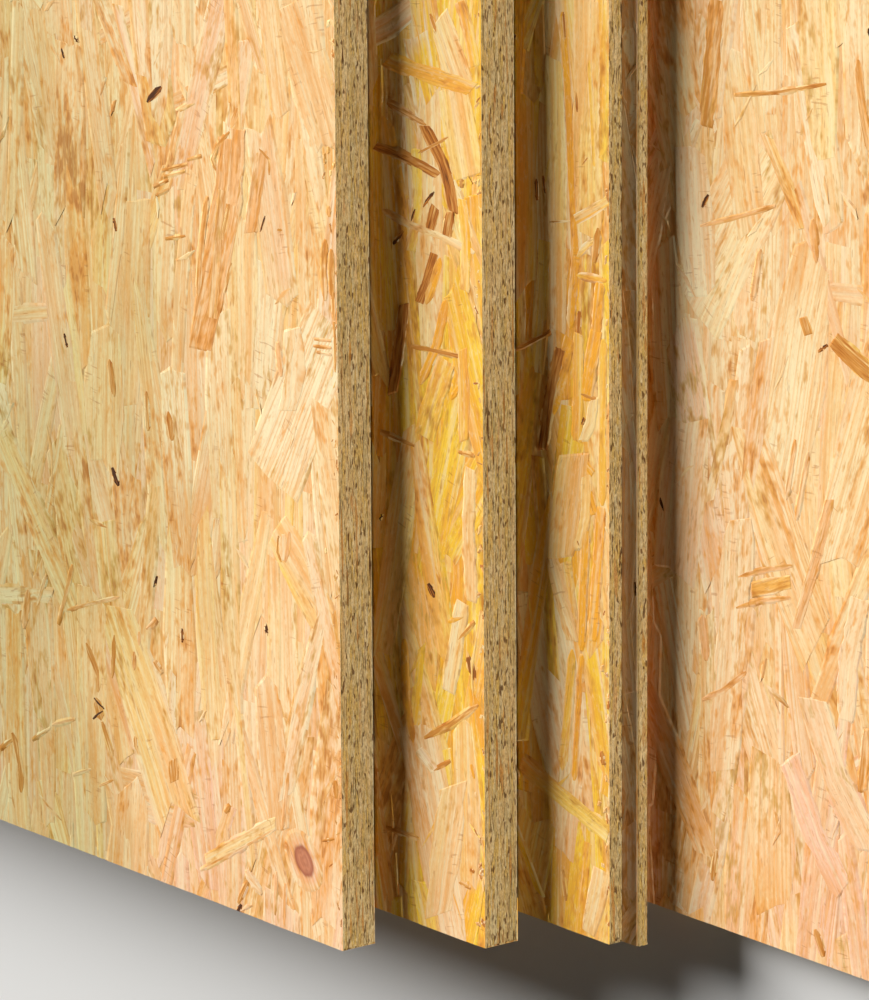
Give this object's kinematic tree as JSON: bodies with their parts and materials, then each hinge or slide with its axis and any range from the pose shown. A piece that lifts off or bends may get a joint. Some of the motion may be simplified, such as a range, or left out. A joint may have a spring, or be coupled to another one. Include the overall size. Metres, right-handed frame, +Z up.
{
  "type": "stack of osb panels",
  "caption": "Loose stack of oriented strand boards lying flat, stepped so each front edge shows; one board has a tongue and a groove milled along its long edges.",
  "frame": {"origin": "bottom centre of the stack's bounding box, on the face the stack rests on", "axes": "+X along the boards' length, +Z up through their thickness, -Y towards the stepped front edges"},
  "size_m": [2.545, 1.545, 0.072],
  "materials": {
    "osb": "pressed wood strands, matt"
  },
  "bodies": {
    "root": {"top_board": "osb", "second_board": "osb", "tongue_and_groove_board": "osb", "bottom_board": "osb"}
  },
  "joints": []
}
